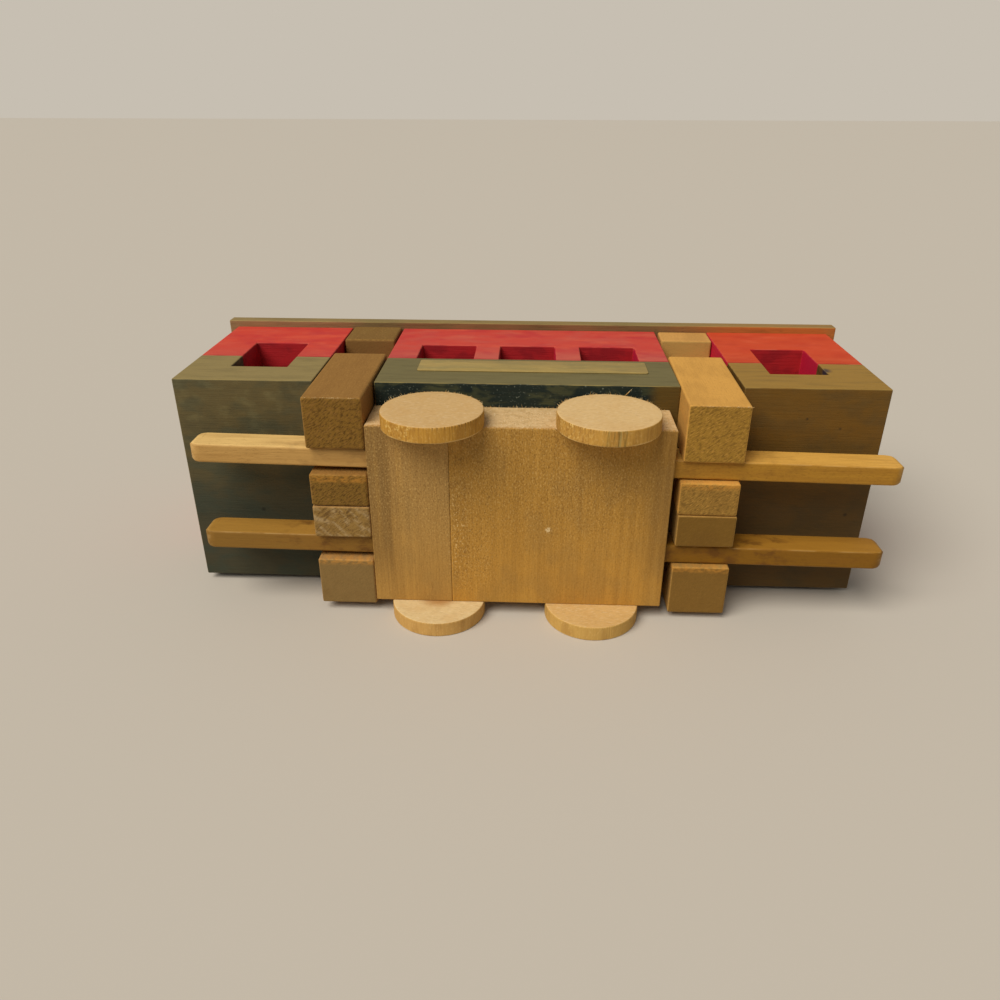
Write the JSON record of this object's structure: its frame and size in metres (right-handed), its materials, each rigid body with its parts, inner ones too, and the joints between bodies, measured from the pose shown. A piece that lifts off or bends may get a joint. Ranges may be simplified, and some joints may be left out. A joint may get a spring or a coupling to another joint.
{
  "type": "wooden trolley car puzzle",
  "caption": "Interlocking wooden puzzle shaped like a trolley car, with red and green blocks, forked boards, a truck with disc wheels and sliding locking sticks.",
  "frame": {"origin": "middle of the car's box in X and Y, on the surface that the puzzle lies on", "axes": "The car lies on one side, as in the picture. +X runs along the car's length, +Y runs from its wheels to its roof, and +Z runs across its width, up from the surface"},
  "size_m": [0.1204, 0.0524, 0.04],
  "materials": {
    "green_dyed_wood": "matt olive green dye, unvarnished",
    "red_dyed_wood": "matt orange red dye, unvarnished",
    "fork_wood": "bare sawn wood, golden brown, sanded lightly",
    "stick_wood": "bare wood, sanded",
    "truck_wood": "bare wood, sanded",
    "wheel_wood": "bare pale wood, sanded"
  },
  "bodies": {
    "car": {"left_cab_skirt": "green_dyed_wood", "left_cab_window_block": "red_dyed_wood", "centre_skirt": "green_dyed_wood", "centre_window_block": "red_dyed_wood", "right_cab_skirt": "green_dyed_wood", "right_cab_window_block": "red_dyed_wood", "left_fork_upper": "fork_wood", "left_fork_lower": "fork_wood", "right_fork_upper": "fork_wood", "right_fork_lower": "fork_wood", "truck_narrow_board": "truck_wood", "truck_wide_board": "truck_wood", "upper_left_wheel": "wheel_wood", "upper_right_wheel": "wheel_wood", "lower_left_wheel": "wheel_wood", "lower_right_wheel": "wheel_wood", "roof_board": "green_dyed_wood", "roof_rib": "green_dyed_wood"},
    "upper_key": {"upper_stick": "stick_wood"},
    "lower_key": {"lower_stick": "stick_wood"}
  },
  "joints": [
    {"name": "upper_stick_slide", "type": "slide", "parent": "car", "child": "upper_key", "axis": [0.9999, 0, -0.0165], "range_m": [-0.095, 0.089]},
    {"name": "lower_stick_slide", "type": "slide", "parent": "car", "child": "lower_key", "axis": [0.9999, 0, -0.0115], "range_m": [-0.095, 0.089]}
  ]
}
